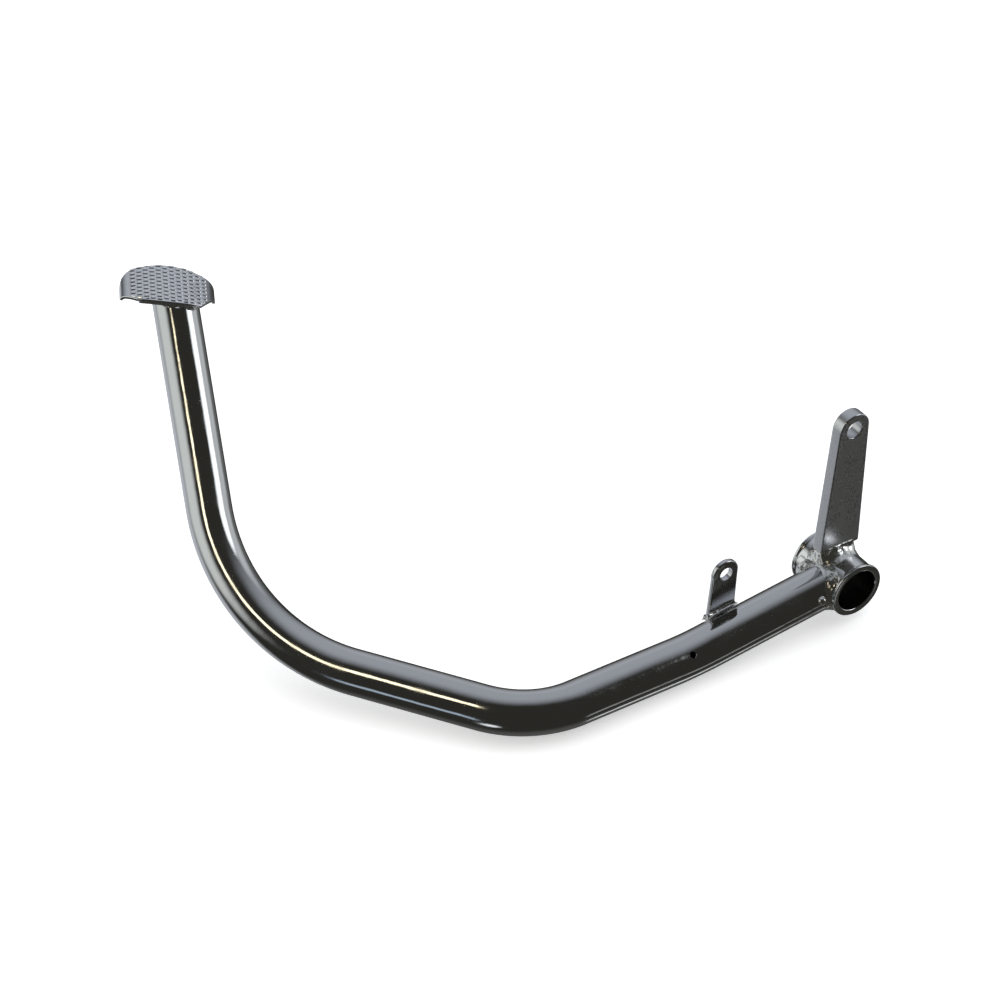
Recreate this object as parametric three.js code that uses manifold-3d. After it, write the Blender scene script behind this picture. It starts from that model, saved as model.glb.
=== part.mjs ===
// Rear brake pedal of a small motorcycle: a chromed tubular lever, welded up from a pivot boss,
// a bent tube, a flat brake-rod arm, a spring tab and a stamped foot pad.
//
// Frame: millimetres, +Z up. The origin is the centre of the pivot bore, the bore runs along Y,
// and the tube leaves the boss towards -X. The foot pad is at the far end, out at +Y and up.
import * as THREE from 'three';
import { mergeVertices } from 'three/addons/utils/BufferGeometryUtils.js';
import Module from 'manifold-3d';

const wasm = await Module();
wasm.setup();

// ---- driving dimensions ----------------------------------------------------------------------
const GAP = 0.3; // kept between two pieces that are welded face to face
const ROUND = 32; // sides of a turned surface

// pivot boss: a turned sleeve with a thin lip at each end
const BOSS_LENGTH = 30;
const BOSS_R = 12.2;
const LIP_R = 13;
const LIP_WIDTH = 1.4;
const LIP_COVE = 1.6; // length of the curve from the body out to the lip
const BORE_R = 10;
const BORE_CHAMFER = 0.7;

// lever tube: straight runs between these corners, with a bend of the given radius at each
const TUBE_R = 10;
const TUBE_WALL = 1.8;
const TUBE_START = new THREE.Vector3(-4, -3.4, 0);
const TUBE_CORNERS = [
  { at: new THREE.Vector3(-80, -1, -8), radius: 150 },
  { at: new THREE.Vector3(-161, 1, -6), radius: 46 },
  { at: new THREE.Vector3(-242.5, 110, 1), radius: 90 },
];
const TUBE_END = new THREE.Vector3(-199.3, 225.6, 114.5); // past the foot pad, where it is cut off
const TUBE_STEPS = 44;
const TUBE_SIDES = 28;
const BORE_SIDES = 14;
const VENT_R = 1.5; // plating drain hole, in the tube's upper side at the first bend
const VENT_ALONG = 80; // along the tube from its start

// brake-rod arm
const ARM_THICK = 6;
const ARM_Y = 2.5; // its middle plane
const ARM_LENGTH = 77.6; // pivot to clevis hole
const ARM_FOOT = 14.2; // height of its straight lower edge above the pivot
const ARM_FOOT_HALF = 10.5;
const ARM_TIP_R = 7.8;
const ARM_LEAN = THREE.MathUtils.degToRad(2.7);
const CLEVIS_R = 4;

// spring tab: a small flat plate standing on the tube, a little behind its top
const TAB_X = -59.3;
const TAB_THICK = 2.6;
const TAB_FACE_Y = 5.3; // its -Y face
const TAB_HALF = 7.2;
const TAB_HOLE_UP = 17.8; // hole centre above the tube's top
const TAB_TIP_R = 6.7;
const TAB_SKEW = 3.9; // how far the rounded tip sits towards the boss
const TAB_HOLE_R = 3.25;

// foot pad: a stamped sheet, arched along its length, with turned-down edges
const PAD_CENTRE = new THREE.Vector3(-203.7, 217.8, 107.7); // crown of the tread
const PAD_LENGTH_WAY = new THREE.Vector3(0.862, -0.464, -0.203);
const PAD_WIDTH_WAY = new THREE.Vector3(0.455, 0.885, -0.095);
const PAD_HALF_LENGTH = 20.9;
const PAD_HALF_WIDTH = 16;
const PAD_SHOULDER = new THREE.Vector2(14, 13.6); // plan: where a bowed long edge meets a cut corner
const PAD_END_HALF = 5; // half length of a short end
const PAD_END_SHIFT = 3; // each short end is set over by this much, towards opposite long edges
const PAD_SHEET = 1.6;
const PAD_ARCH = 1.6; // how far the tread drops from crown to shoulder
const PAD_END_SKIRT = 6.5; // how far the turned-down ends reach below the crown
const PAD_SIDE_SKIRT = 2.2; // depth of the turned-down long edges, from the top of the tread

// weld beads
const BEAD = 3.2; // leg of the bead round the tube and the arm
const TAB_BEAD = 2.4; // leg of the fillets along both faces of the tab
const PAD_BEAD = 1.2; // how far the bead under the pad stands out from the tube

// ---- solids: three.js geometry in and out of the boolean library -----------------------------
function solid(geometry, matrix) {
  const bare = geometry.clone();
  bare.deleteAttribute('normal');
  bare.deleteAttribute('uv');
  if (matrix) bare.applyMatrix4(matrix);
  const merged = mergeVertices(bare, 1e-4);
  return new wasm.Manifold(
    new wasm.Mesh({
      numProp: 3,
      vertProperties: new Float32Array(merged.attributes.position.array),
      triVerts: new Uint32Array(merged.index.array),
    }),
  );
}

function geometryOf(manifold) {
  const mesh = manifold.getMesh();
  const geometry = new THREE.BufferGeometry();
  geometry.setAttribute('position', new THREE.BufferAttribute(mesh.vertProperties, 3));
  geometry.setIndex(new THREE.BufferAttribute(mesh.triVerts, 1));
  geometry.computeVertexNormals();
  return geometry;
}

const move = (x, y, z) => new THREE.Matrix4().makeTranslation(x, y, z);

// A cylinder along Y about the origin.
function rod(radius, length, sides = ROUND) {
  return new THREE.CylinderGeometry(radius, radius, length, sides);
}

// A flat outline drawn in X and Z, and given a thickness along Y about the plane y = 0.
function plate(shape, thickness, curveSegments = 10) {
  const geometry = new THREE.ExtrudeGeometry(shape, {
    depth: thickness,
    bevelEnabled: false,
    curveSegments,
  });
  return geometry.translate(0, 0, -thickness / 2).rotateX(Math.PI / 2);
}

// ---- the tube's path ---------------------------------------------------------------------------
class Bend extends THREE.Curve {
  constructor(corner, before, after, radius) {
    super();
    const turn = before.angleTo(after);
    const setback = radius * Math.tan(turn / 2);
    this.start = corner.clone().addScaledVector(before, -setback);
    this.end = corner.clone().addScaledVector(after, setback);
    this.along = before;
    this.inward = after.clone().addScaledVector(before, -after.dot(before)).normalize();
    this.turn = turn;
    this.radius = radius;
  }

  getPoint(t, target = new THREE.Vector3()) {
    const angle = t * this.turn;
    return target
      .copy(this.start)
      .addScaledVector(this.along, this.radius * Math.sin(angle))
      .addScaledVector(this.inward, this.radius * (1 - Math.cos(angle)));
  }
}

function tubePath() {
  const path = new THREE.CurvePath();
  const stops = [TUBE_START, ...TUBE_CORNERS.map((corner) => corner.at), TUBE_END];
  const way = (i) => stops[i + 1].clone().sub(stops[i]).normalize();
  let from = TUBE_START;
  TUBE_CORNERS.forEach((corner, i) => {
    const bend = new Bend(corner.at, way(i), way(i + 1), corner.radius);
    path.add(new THREE.LineCurve3(from, bend.start));
    path.add(bend);
    from = bend.end;
  });
  path.add(new THREE.LineCurve3(from, TUBE_END));
  return path;
}

const lever = tubePath();
const tubeOutset = lever.getTangent(0); // away from the boss
const padInset = lever.getTangent(1); // into the pad

function ring(radius, hole) {
  const shape = new THREE.Shape().absarc(0, 0, radius, 0, 2 * Math.PI);
  if (hole) shape.holes.push(new THREE.Path().absarc(0, 0, hole, 0, 2 * Math.PI, true));
  return shape;
}

function sweep(shape, sides) {
  const points = (path) => path.getSpacedPoints(sides.outer).slice(0, -1);
  const outline = new THREE.Shape(points(shape));
  outline.holes = shape.holes.map(
    (hole) => new THREE.Path(hole.getSpacedPoints(sides.inner).slice(0, -1)),
  );
  return new THREE.ExtrudeGeometry(outline, { steps: TUBE_STEPS, extrudePath: lever });
}

// A solid turned about the line through a point of the tube: profile points are [radius, height].
function turnedAlong(profile, origin, axis) {
  const points = profile.map(([radius, height]) => new THREE.Vector2(radius, height));
  const spin = new THREE.Quaternion().setFromUnitVectors(new THREE.Vector3(0, 1, 0), axis);
  const place = new THREE.Matrix4().compose(origin, spin, new THREE.Vector3(1, 1, 1));
  return solid(new THREE.LatheGeometry(points, ROUND), place);
}

// ---- clearance shapes: what a neighbour is cut back to -------------------------------------
const BOSS_CLEAR_R = BOSS_R + GAP;
function bossClear() {
  const lipZone = LIP_WIDTH + LIP_COVE + GAP;
  const lip = rod((LIP_R + GAP) / Math.cos(Math.PI / ROUND), 2 * lipZone);
  return solid(rod(BOSS_CLEAR_R / Math.cos(Math.PI / ROUND), 3 * BOSS_LENGTH))
    .add(solid(lip, move(0, BOSS_LENGTH / 2, 0)))
    .add(solid(lip, move(0, -BOSS_LENGTH / 2, 0)));
}
const tubeClear = () => solid(sweep(ring(TUBE_R + GAP), { outer: TUBE_SIDES }));

// The pad's own frame: X along its length, Y across its width, Z up through the tread.
const padUp = PAD_LENGTH_WAY.clone().cross(PAD_WIDTH_WAY).normalize();
const padPlace = new THREE.Matrix4()
  .makeBasis(PAD_LENGTH_WAY.clone().normalize(), padUp.clone().cross(PAD_LENGTH_WAY).normalize(), padUp)
  .setPosition(PAD_CENTRE);

// Everything under the tread's curve, sunk by the given depth below it: a low arch from shoulder
// to shoulder, then a bend down at each end.
function underTread(sink) {
  const end = PAD_HALF_LENGTH - sink;
  const side = PAD_SHOULDER.x;
  const slope = (2 * PAD_ARCH) / side;
  const knee = -PAD_ARCH - slope * (end - side) - sink;
  const bottom = -2 * PAD_END_SKIRT;
  const shape = new THREE.Shape()
    .moveTo(end, bottom)
    .lineTo(end, -PAD_END_SKIRT)
    .quadraticCurveTo(end, knee, side, -PAD_ARCH - sink)
    .quadraticCurveTo(0, PAD_ARCH - sink, -side, -PAD_ARCH - sink)
    .quadraticCurveTo(-end, knee, -end, -PAD_END_SKIRT)
    .lineTo(-end, bottom);
  return solid(plate(shape, 6 * PAD_HALF_WIDTH, 9));
}

// ---- pieces --------------------------------------------------------------------------------------
function pivotBoss() {
  const half = BOSS_LENGTH / 2;
  const cove = half - LIP_WIDTH - LIP_COVE;
  const end = [
    [BOSS_R, cove],
    [BOSS_R + 0.3 * (LIP_R - BOSS_R), cove + 0.6 * LIP_COVE],
    [LIP_R, half - LIP_WIDTH],
    [LIP_R, half - 0.3],
    [LIP_R - 0.3, half],
    [BORE_R + BORE_CHAMFER, half],
    [BORE_R, half - BORE_CHAMFER],
  ];
  const mirrored = end.map(([radius, height]) => [radius, -height]).reverse();
  const profile = [...mirrored, ...end, mirrored[0]];
  return turnedAlong(profile, new THREE.Vector3(), new THREE.Vector3(0, 1, 0));
}

function leverTube() {
  const pipe = solid(
    sweep(ring(TUBE_R, TUBE_R - TUBE_WALL), { outer: TUBE_SIDES, inner: BORE_SIDES }),
  );
  const vent = solid(rod(VENT_R, 2 * TUBE_R, 12).translate(0, -TUBE_R, 0), ventPlace());
  return pipe
    .subtract(bossClear())
    .subtract(aboveTube().transform(padPlace.elements))
    .subtract(vent);
}

// The drain hole runs in to the tube's middle, halfway between its -Y side and its top.
function ventPlace() {
  const middle = lever.getPointAt(VENT_ALONG / lever.getLength());
  return move(middle.x, middle.y, middle.z).multiply(new THREE.Matrix4().makeRotationX(-Math.PI / 4));
}

// Outline of the arm: a straight foot, and sides that meet the rounded tip as tangents.
function armOutline(grow = 0) {
  const rise = ARM_LENGTH - ARM_FOOT;
  const reach = Math.hypot(ARM_FOOT_HALF, rise);
  const side = Math.acos(ARM_TIP_R / reach) - Math.atan2(rise, ARM_FOOT_HALF);
  return new THREE.Shape()
    .moveTo(-ARM_FOOT_HALF - grow, ARM_FOOT - grow)
    .lineTo(ARM_FOOT_HALF + grow, ARM_FOOT - grow)
    .absarc(0, ARM_LENGTH, ARM_TIP_R + grow, side, Math.PI - side);
}

const armPlace = new THREE.Matrix4().makeRotationY(ARM_LEAN).multiply(move(0, ARM_Y, 0));

function actuatorArm() {
  const outline = armOutline();
  outline.holes.push(new THREE.Path().absarc(0, ARM_LENGTH, CLEVIS_R, 0, 2 * Math.PI, true));
  return solid(plate(outline, ARM_THICK, 24), armPlace);
}

// The tab's own frame: X along the tube, Z square to it, origin on the line of the tube's top.
const tabSlope = Math.atan2(
  TUBE_START.z - TUBE_CORNERS[0].at.z,
  TUBE_START.x - TUBE_CORNERS[0].at.x,
);
const tabPlace = move(
  TAB_X,
  0,
  TUBE_START.z + (TAB_X - TUBE_START.x) * Math.tan(tabSlope) + TUBE_R / Math.cos(tabSlope),
).multiply(new THREE.Matrix4().makeRotationY(-tabSlope));

// The tab before it is cut to the tube: straight sides up to a tip set over towards the boss.
function tabBlank(grow = 0) {
  const outline = new THREE.Shape()
    .moveTo(-TAB_HALF - grow, -TUBE_R / 2)
    .lineTo(TAB_HALF + grow, -TUBE_R / 2)
    .absarc(TAB_SKEW, TAB_HOLE_UP, TAB_TIP_R + grow, 0, Math.PI);
  outline.holes.push(new THREE.Path().absarc(TAB_SKEW, TAB_HOLE_UP, TAB_HOLE_R, 0, 2 * Math.PI, true));
  const middle = move(0, TAB_FACE_Y + TAB_THICK / 2, 0);
  return solid(plate(outline, TAB_THICK + 2 * grow, 12), tabPlace.clone().multiply(middle));
}

const springTab = () => tabBlank().subtract(tubeClear());

// Plan of the pad, alike after a half turn but for its corners: the two long edges are bowed, the
// far corners are rounded and the near ones cut straight.
function padPlan(inset = 0) {
  const end = PAD_HALF_LENGTH - inset;
  const flat = PAD_END_HALF - inset / 2;
  const shoulder = PAD_SHOULDER.clone().subScalar(inset);
  const bow = 2 * (PAD_HALF_WIDTH - inset) - shoulder.y; // puts the bowed edge's middle at full width
  const corner = shoulder.y - ((bow - shoulder.y) * (end - shoulder.x)) / shoulder.x;
  return new THREE.Shape()
    .moveTo(end, PAD_END_SHIFT - flat)
    .lineTo(end, PAD_END_SHIFT + flat)
    .quadraticCurveTo(end, corner, shoulder.x, shoulder.y)
    .quadraticCurveTo(0, bow, -shoulder.x, shoulder.y)
    .quadraticCurveTo(-end, corner, -end, flat - PAD_END_SHIFT)
    .lineTo(-end, -flat - PAD_END_SHIFT)
    .lineTo(-shoulder.x, -shoulder.y)
    .quadraticCurveTo(0, -bow, shoulder.x, -shoulder.y);
}

function padPrism(inset) {
  const drawn = { depth: 2 * PAD_END_SKIRT, bevelEnabled: false, curveSegments: 12 };
  return solid(new THREE.ExtrudeGeometry(padPlan(inset), drawn), move(0, 0, -PAD_END_SKIRT));
}

// The tube stops square to the tread, just under the pad's long skirts: this is all above there.
function aboveTube(lift = 0) {
  const size = 8 * TUBE_R;
  const floor = lift - PAD_SIDE_SKIRT - PAD_ARCH - GAP;
  return solid(new THREE.BoxGeometry(size, size, size), move(0, 0, size / 2 + floor));
}

// The sheet is what is left of a solid blank once its inside is hollowed out, the four corners
// are opened, and the skirts along the two long edges are trimmed to an even depth.
function footPad() {
  const cornerBox = new THREE.BoxGeometry(PAD_HALF_LENGTH, PAD_HALF_WIDTH, 4 * PAD_END_SKIRT);
  let inside = padPrism(PAD_SHEET);
  for (const sx of [-1, 1]) {
    for (const sy of [-1, 1]) {
      const x = sx * (PAD_SHOULDER.x + PAD_HALF_LENGTH / 2);
      const y = sx * PAD_END_SHIFT + sy * (PAD_END_HALF + PAD_HALF_WIDTH / 2);
      inside = inside.add(solid(cornerBox, move(x, y, 0)));
    }
  }
  const middle = new THREE.BoxGeometry(2 * PAD_SHOULDER.x, 4 * PAD_HALF_WIDTH, 4 * PAD_END_SKIRT);
  const trim = solid(middle).intersect(underTread(PAD_SIDE_SKIRT));
  return padPrism(0)
    .intersect(underTread(0))
    .subtract(inside.intersect(underTread(PAD_SHEET)))
    .subtract(trim)
    .transform(padPlace.elements);
}

// Bead round the tube where it butts on the boss: flared towards the boss, cut back to both.
function bossCollar(grow = 0) {
  const foot = BOSS_R - TUBE_START.length();
  const profile = [
    [0, -TUBE_R],
    [TUBE_R + 0.9 * BEAD + grow, -TUBE_R],
    [TUBE_R + 0.9 * BEAD + grow, foot - 2],
    [TUBE_R + 0.4 * BEAD + grow, foot + 0.7 * BEAD],
    [TUBE_R + 0.7 + grow, foot + 1.5 * BEAD],
    [0, foot + 1.5 * BEAD + grow],
  ];
  return turnedAlong(profile, TUBE_START, tubeOutset);
}

function weldTubeToBoss() {
  const between = new THREE.BoxGeometry(4 * BOSS_LENGTH, BOSS_LENGTH - GAP, 4 * BOSS_LENGTH);
  return bossCollar()
    .subtract(bossClear())
    .subtract(tubeClear())
    .intersect(solid(between, move(-2 * BOSS_LENGTH, 0, 0)));
}

// Bead under the arm's foot: a block that spreads towards the boss, cut back to the boss and to
// the bead round the tube.
function weldArmToBoss() {
  const x = ARM_FOOT_HALF - 1;
  const y = ARM_THICK / 2;
  const block = new THREE.Shape().moveTo(-x, -y).lineTo(x, -y).lineTo(x, y).lineTo(-x, y);
  const spread = new THREE.ExtrudeGeometry(block, {
    depth: BEAD,
    bevelThickness: 2 * BEAD,
    bevelSize: 0.8 * BEAD,
    bevelOffset: -0.6 * BEAD,
    bevelSegments: 3,
  });
  const top = ARM_FOOT - GAP - 3 * BEAD;
  return solid(spread, armPlace.clone().multiply(move(0, 0, top)))
    .subtract(bossClear())
    .subtract(bossCollar(GAP));
}

// Bead between the rim of the tube and the underside of the pad: it widens towards the pad, stays
// inside the skirts, and leaves the bore open.
function weldPadToTube() {
  const below = -3 * TUBE_R;
  const profile = [
    [0, below],
    [TUBE_R + 0.7 * PAD_BEAD, below],
    [TUBE_R + 1.3 * PAD_BEAD, 0.7 * below],
    [TUBE_R + 1.7 * PAD_BEAD, 0],
    [0, 0],
  ];
  const slab = new THREE.BoxGeometry(8 * TUBE_R, 8 * TUBE_R, BEAD);
  const band = solid(slab, move(0, 0, -PAD_SHEET - GAP - BEAD / 2));
  const room = padPrism(PAD_SHEET + GAP).intersect(underTread(PAD_SHEET + GAP));
  const allowed = band.subtract(aboveTube().subtract(room)).transform(padPlace.elements);
  const rim = tubeClear().subtract(aboveTube(GAP).transform(padPlace.elements));
  const bore = solid(sweep(ring(TUBE_R - TUBE_WALL), { outer: BORE_SIDES }));
  return turnedAlong(profile, TUBE_END, padInset)
    .intersect(allowed)
    .subtract(rim)
    .subtract(bore);
}

// Fillet along one face of the tab's foot: its section spreads out over the tube, and it is cut
// back to the tube and the tab.
function weldTab(faceY, reach) {
  const tubeSurface = (y) => Math.sqrt(TUBE_R ** 2 - y ** 2) - TUBE_R;
  const toe = faceY + reach;
  const section = new THREE.Shape()
    .moveTo(faceY, -TUBE_R)
    .lineTo(toe, -TUBE_R)
    .lineTo(toe, tubeSurface(toe) + 2 * GAP)
    .lineTo(faceY, tubeSurface(faceY) + TAB_BEAD);
  const run = new THREE.ExtrudeGeometry(section, { depth: 2 * TAB_HALF, bevelEnabled: false });
  // The section is drawn in the XY plane: turn its X to Y and its Y to Z.
  run.translate(0, 0, -TAB_HALF).rotateX(Math.PI / 2).rotateZ(Math.PI / 2);
  return solid(run, tabPlace).subtract(tubeClear()).subtract(tabBlank(GAP));
}

// ---- the assembly --------------------------------------------------------------------------------
const chrome = () =>
  new THREE.MeshStandardMaterial({ color: 0xc9ccd0, metalness: 1, roughness: 0.08 });
const satinChrome = () =>
  new THREE.MeshStandardMaterial({ color: 0xb4b6ba, metalness: 1, roughness: 0.3 });
const weldChrome = () =>
  new THREE.MeshStandardMaterial({ color: 0xb8babd, metalness: 1, roughness: 0.22 });

const pedal = new THREE.Group();

function addPiece(name, manifold, material) {
  const mesh = new THREE.Mesh(geometryOf(manifold), material);
  mesh.name = name;
  pedal.add(mesh);
}

addPiece('pivot_boss', pivotBoss(), chrome());
addPiece('lever_tube', leverTube(), chrome());
addPiece('actuator_arm', actuatorArm(), chrome());
addPiece('spring_tab', springTab(), chrome());
addPiece('foot_pad', footPad(), satinChrome());
addPiece('weld_tube_to_boss', weldTubeToBoss(), weldChrome());
addPiece('weld_arm_to_boss', weldArmToBoss(), weldChrome());
addPiece('weld_pad_to_tube', weldPadToTube(), weldChrome());
addPiece('weld_tab_front', weldTab(TAB_FACE_Y, -1.5 * TAB_BEAD), weldChrome());
addPiece('weld_tab_rear', weldTab(TAB_FACE_Y + TAB_THICK, 0.5 * TAB_BEAD), weldChrome());

export default pedal;
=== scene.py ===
"""Chromed motorcycle brake pedal: finer pieces in place of the CAD nodes, chrome, and a studio."""

import math

import bmesh
import bpy
import numpy as np
from mathutils import Matrix, Vector, noise


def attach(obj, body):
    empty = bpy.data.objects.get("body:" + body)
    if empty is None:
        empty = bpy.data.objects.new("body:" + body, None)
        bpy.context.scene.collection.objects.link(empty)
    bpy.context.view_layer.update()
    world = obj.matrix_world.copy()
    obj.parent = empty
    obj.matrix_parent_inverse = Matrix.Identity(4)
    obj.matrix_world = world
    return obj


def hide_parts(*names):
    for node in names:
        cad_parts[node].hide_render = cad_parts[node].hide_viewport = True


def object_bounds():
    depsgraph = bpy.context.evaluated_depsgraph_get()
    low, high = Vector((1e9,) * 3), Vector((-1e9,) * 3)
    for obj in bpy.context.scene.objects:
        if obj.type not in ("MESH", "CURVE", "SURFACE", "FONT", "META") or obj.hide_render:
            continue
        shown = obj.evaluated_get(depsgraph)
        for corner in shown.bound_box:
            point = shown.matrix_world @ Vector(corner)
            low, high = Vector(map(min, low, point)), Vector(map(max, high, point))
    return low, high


MM = 0.001
AXIS_R = 0.01  # radius that stands for the axis in a turned profile, in millimetres

# ---- driving dimensions, in millimetres, as in the CAD -------------------------------------------
BOSS_HALF = 15.0
BOSS_R = 12.2
LIP_R = 13.0
LIP_WIDTH = 1.4
LIP_COVE = 1.6
BORE_R = 10.0
BORE_CHAMFER = 0.7
LIP_EDGE_R = 0.45

TUBE_R = 10.0
TUBE_WALL = 1.8
TUBE_START = Vector((-4, -3.4, 0))
TUBE_END = Vector((-199.3, 225.6, 114.5))
TUBE_CORNERS = [
    (Vector((-80, -1, -8)), 150.0),
    (Vector((-161, 1, -6)), 46.0),
    (Vector((-242.5, 110, 1)), 90.0),
]
TUBE_SIDES = 96
TUBE_STEP = 1.2
TIGHT_BEND_R = 60.0  # bends tighter than this are squashed in full
BEND_FLATTEN = 0.035  # how much the tube is squashed across its tighter bends
VENT_R = 1.5
VENT_ALONG = 80.0
VENT_FLARE = 0.7  # how far the hole widens at the tube's surface

ARM_THICK = 6.0
ARM_Y = 2.5
ARM_LENGTH = 77.6
ARM_FOOT = 14.2
ARM_FOOT_HALF = 10.5
ARM_TIP_R = 7.8
ARM_LEAN = math.radians(2.7)
CLEVIS_R = 4.0
ARM_EDGE_R = 0.6
ARM_CORNER_R = 1.0  # the two corners at its foot

TAB_X = -59.3
TAB_THICK = 2.6
TAB_FACE_Y = 5.3
TAB_HALF = 7.2
TAB_HOLE_UP = 17.8
TAB_TIP_R = 6.7
TAB_SKEW = 3.9
TAB_HOLE_R = 3.25
TAB_EDGE_R = 0.8

PAD_CENTRE = Vector((-203.7, 217.8, 107.7))
PAD_LENGTH_WAY = Vector((0.862, -0.464, -0.203)).normalized()
PAD_WIDTH_WAY = Vector((0.455, 0.885, -0.095))
PAD_HALF_LENGTH = 20.9
PAD_SHOULDER = (14.0, 13.6)
PAD_BOW = 2.4  # how far the long edges bow out beyond the shoulders
PAD_END_HALF = 5.0
PAD_END_SHIFT = 3.0
PAD_ARCH = 1.6
PAD_END_SKIRT = 6.5
PAD_SIDE_SKIRT = 2.2
PAD_SHEET = 1.3
KNURL_PITCH = (2.85, 3.3)  # along the pad's length, and across its width
KNURL_HEIGHT = 0.6
KNURL_TOP = (0.3, 0.18)  # half size of a lozenge's flat top, in pitches
KNURL_FOOT = (0.5, 0.45)  # and of its foot
KNURL_START = 5.6  # plain length at each end, measured up from the skirt's lower edge
KNURL_FADE = 0.8
KNURL_RIM = (0.4, 1.0)  # the knurling fades out between these distances from the long edges
PAD_EDGE_R = 0.45  # rounding where the tread turns down into the long skirts
PAD_SKIRT_INSET = 0.6  # the long skirts stop this far short of the shoulders
PAD_LEAST_EDGE = 0.02
PAD_ROWS = 300
PAD_COLUMNS = 190

SEAM_DROP_R = 2.1  # a round drop of weld metal on the tube, beside the sleeve
SEAM_DROP_OUT = 6.0
SEAM_DROP_TURN = 0.54  # how far round the tube it sits, in turns
PAD_BEAD_R = 1.9
PAD_BEAD_REACH = 13.2


# ---- small helpers ---------------------------------------------------------------------------------
def add_mesh(name, points, faces, place=None):
    """A smooth-shaded mesh object from points in millimetres."""
    mesh = bpy.data.meshes.new(name)
    mesh.from_pydata([tuple(Vector(p) * MM) for p in points], [], faces)
    if place is not None:
        in_metres = Matrix.Scale(MM, 4) @ place @ Matrix.Scale(1 / MM, 4)
        mesh.transform(in_metres)
    tidy_normals(mesh)
    obj = bpy.data.objects.new(name, mesh)
    bpy.context.scene.collection.objects.link(obj)
    return obj


def tidy_normals(mesh):
    work = bmesh.new()
    work.from_mesh(mesh)
    bmesh.ops.remove_doubles(work, verts=work.verts, dist=1e-7)
    bmesh.ops.recalc_face_normals(work, faces=work.faces)
    work.to_mesh(mesh)
    work.free()
    mesh.polygons.foreach_set("use_smooth", [True] * len(mesh.polygons))


def bake(obj):
    """Applies the object's modifiers to its mesh."""
    depsgraph = bpy.context.evaluated_depsgraph_get()
    mesh = bpy.data.meshes.new_from_object(obj.evaluated_get(depsgraph))
    obj.modifiers.clear()
    obj.data = mesh
    return obj


def weight_normals(obj):
    """Keeps wide flat faces flat next to their rounded edges."""
    modifier = obj.modifiers.new("weighted", "WEIGHTED_NORMAL")
    modifier.keep_sharp = True
    return obj


def grid_faces(rows, columns, wrap_columns=False):
    faces = []
    for i in range(rows - 1):
        for j in range(columns if wrap_columns else columns - 1):
            k = (j + 1) % columns
            here, above = i * columns, (i + 1) * columns
            faces.append((here + j, here + k, above + k, above + j))
    return faces


def torus_faces(rows, columns):
    """Faces of a grid that closes on itself both ways."""
    last = (rows - 1) * columns
    closing = [(last + k, last + (k + 1) % columns, (k + 1) % columns, k) for k in range(columns)]
    return grid_faces(rows, columns, wrap_columns=True) + closing


def arc(centre, radius, start, end, count):
    """Points of an arc in the plane, with angles in degrees."""
    angles = np.radians(np.linspace(start, end, count))
    return [(centre[0] + radius * math.cos(a), centre[1] + radius * math.sin(a)) for a in angles]


def turned(name, profile, sides=128):
    """A closed profile of (radius, height) turned about the Y axis."""
    points = []
    for radius, height in profile:
        for k in range(sides):
            turn = 2 * math.pi * k / sides
            points.append((radius * math.cos(turn), height, radius * math.sin(turn)))
    return add_mesh(name, points, torus_faces(len(profile), sides))


def plate(name, outlines, thickness, rounding):
    """A plate from flat outlines in X and Z (the first is the rim, the rest holes), rounded edges."""
    curve = bpy.data.curves.new(name, "CURVE")
    curve.dimensions = "2D"
    curve.fill_mode = "BOTH"
    curve.extrude = (thickness / 2 - rounding) * MM
    curve.bevel_depth = rounding * MM
    curve.bevel_resolution = 3
    curve.offset = -rounding * MM
    for outline in outlines:
        spline = curve.splines.new("POLY")
        spline.points.add(len(outline) - 1)
        for point, (x, z) in zip(spline.points, outline):
            point.co = (x * MM, z * MM, 0, 1)
        spline.use_cyclic_u = True
    drawn = bpy.data.objects.new(name, curve)
    bpy.context.scene.collection.objects.link(drawn)
    depsgraph = bpy.context.evaluated_depsgraph_get()
    mesh = bpy.data.meshes.new_from_object(drawn.evaluated_get(depsgraph))
    bpy.data.objects.remove(drawn)
    mesh.transform(Matrix.Rotation(math.pi / 2, 4, "X"))
    tidy_normals(mesh)
    obj = bpy.data.objects.new(name, mesh)
    bpy.context.scene.collection.objects.link(obj)
    return obj


def in_place(obj, place):
    """Moves a mesh by a matrix whose lengths are in millimetres."""
    obj.data.transform(Matrix.Scale(MM, 4) @ place @ Matrix.Scale(1 / MM, 4))
    return obj


# ---- the tube's path -------------------------------------------------------------------------------
def tube_stations():
    """Points along the tube's middle: (centre, direction, bend direction, how much it bends)."""
    stops = [TUBE_START] + [corner for corner, _ in TUBE_CORNERS] + [TUBE_END]
    ways = [(stops[i + 1] - stops[i]).normalized() for i in range(len(stops) - 1)]
    stations = []
    begin = TUBE_START
    for i, (corner, radius) in enumerate(TUBE_CORNERS):
        before, after = ways[i], ways[i + 1]
        turn = before.angle(after)
        inward = (after - before * after.dot(before)).normalized()
        bend_start = corner - before * radius * math.tan(turn / 2)
        count = max(2, round((bend_start - begin).length / TUBE_STEP))
        stations += [(begin.lerp(bend_start, k / count), before, inward, 0.0) for k in range(count)]
        count = max(8, round(radius * turn / TUBE_STEP))
        tight = min(1.0, TIGHT_BEND_R / radius)
        for k in range(count):
            angle = turn * k / count
            onward, across = radius * math.sin(angle), radius * (1 - math.cos(angle))
            centre = bend_start + before * onward + inward * across
            way = before * math.cos(angle) + inward * math.sin(angle)
            stations.append((centre, way, inward, tight * math.sin(math.pi * k / count)))
        begin = corner + after * radius * math.tan(turn / 2)
    count = round((TUBE_END - begin).length / TUBE_STEP)
    stations += [(begin.lerp(TUBE_END, k / count), ways[-1], inward, 0.0) for k in range(count + 1)]
    return stations


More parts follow.
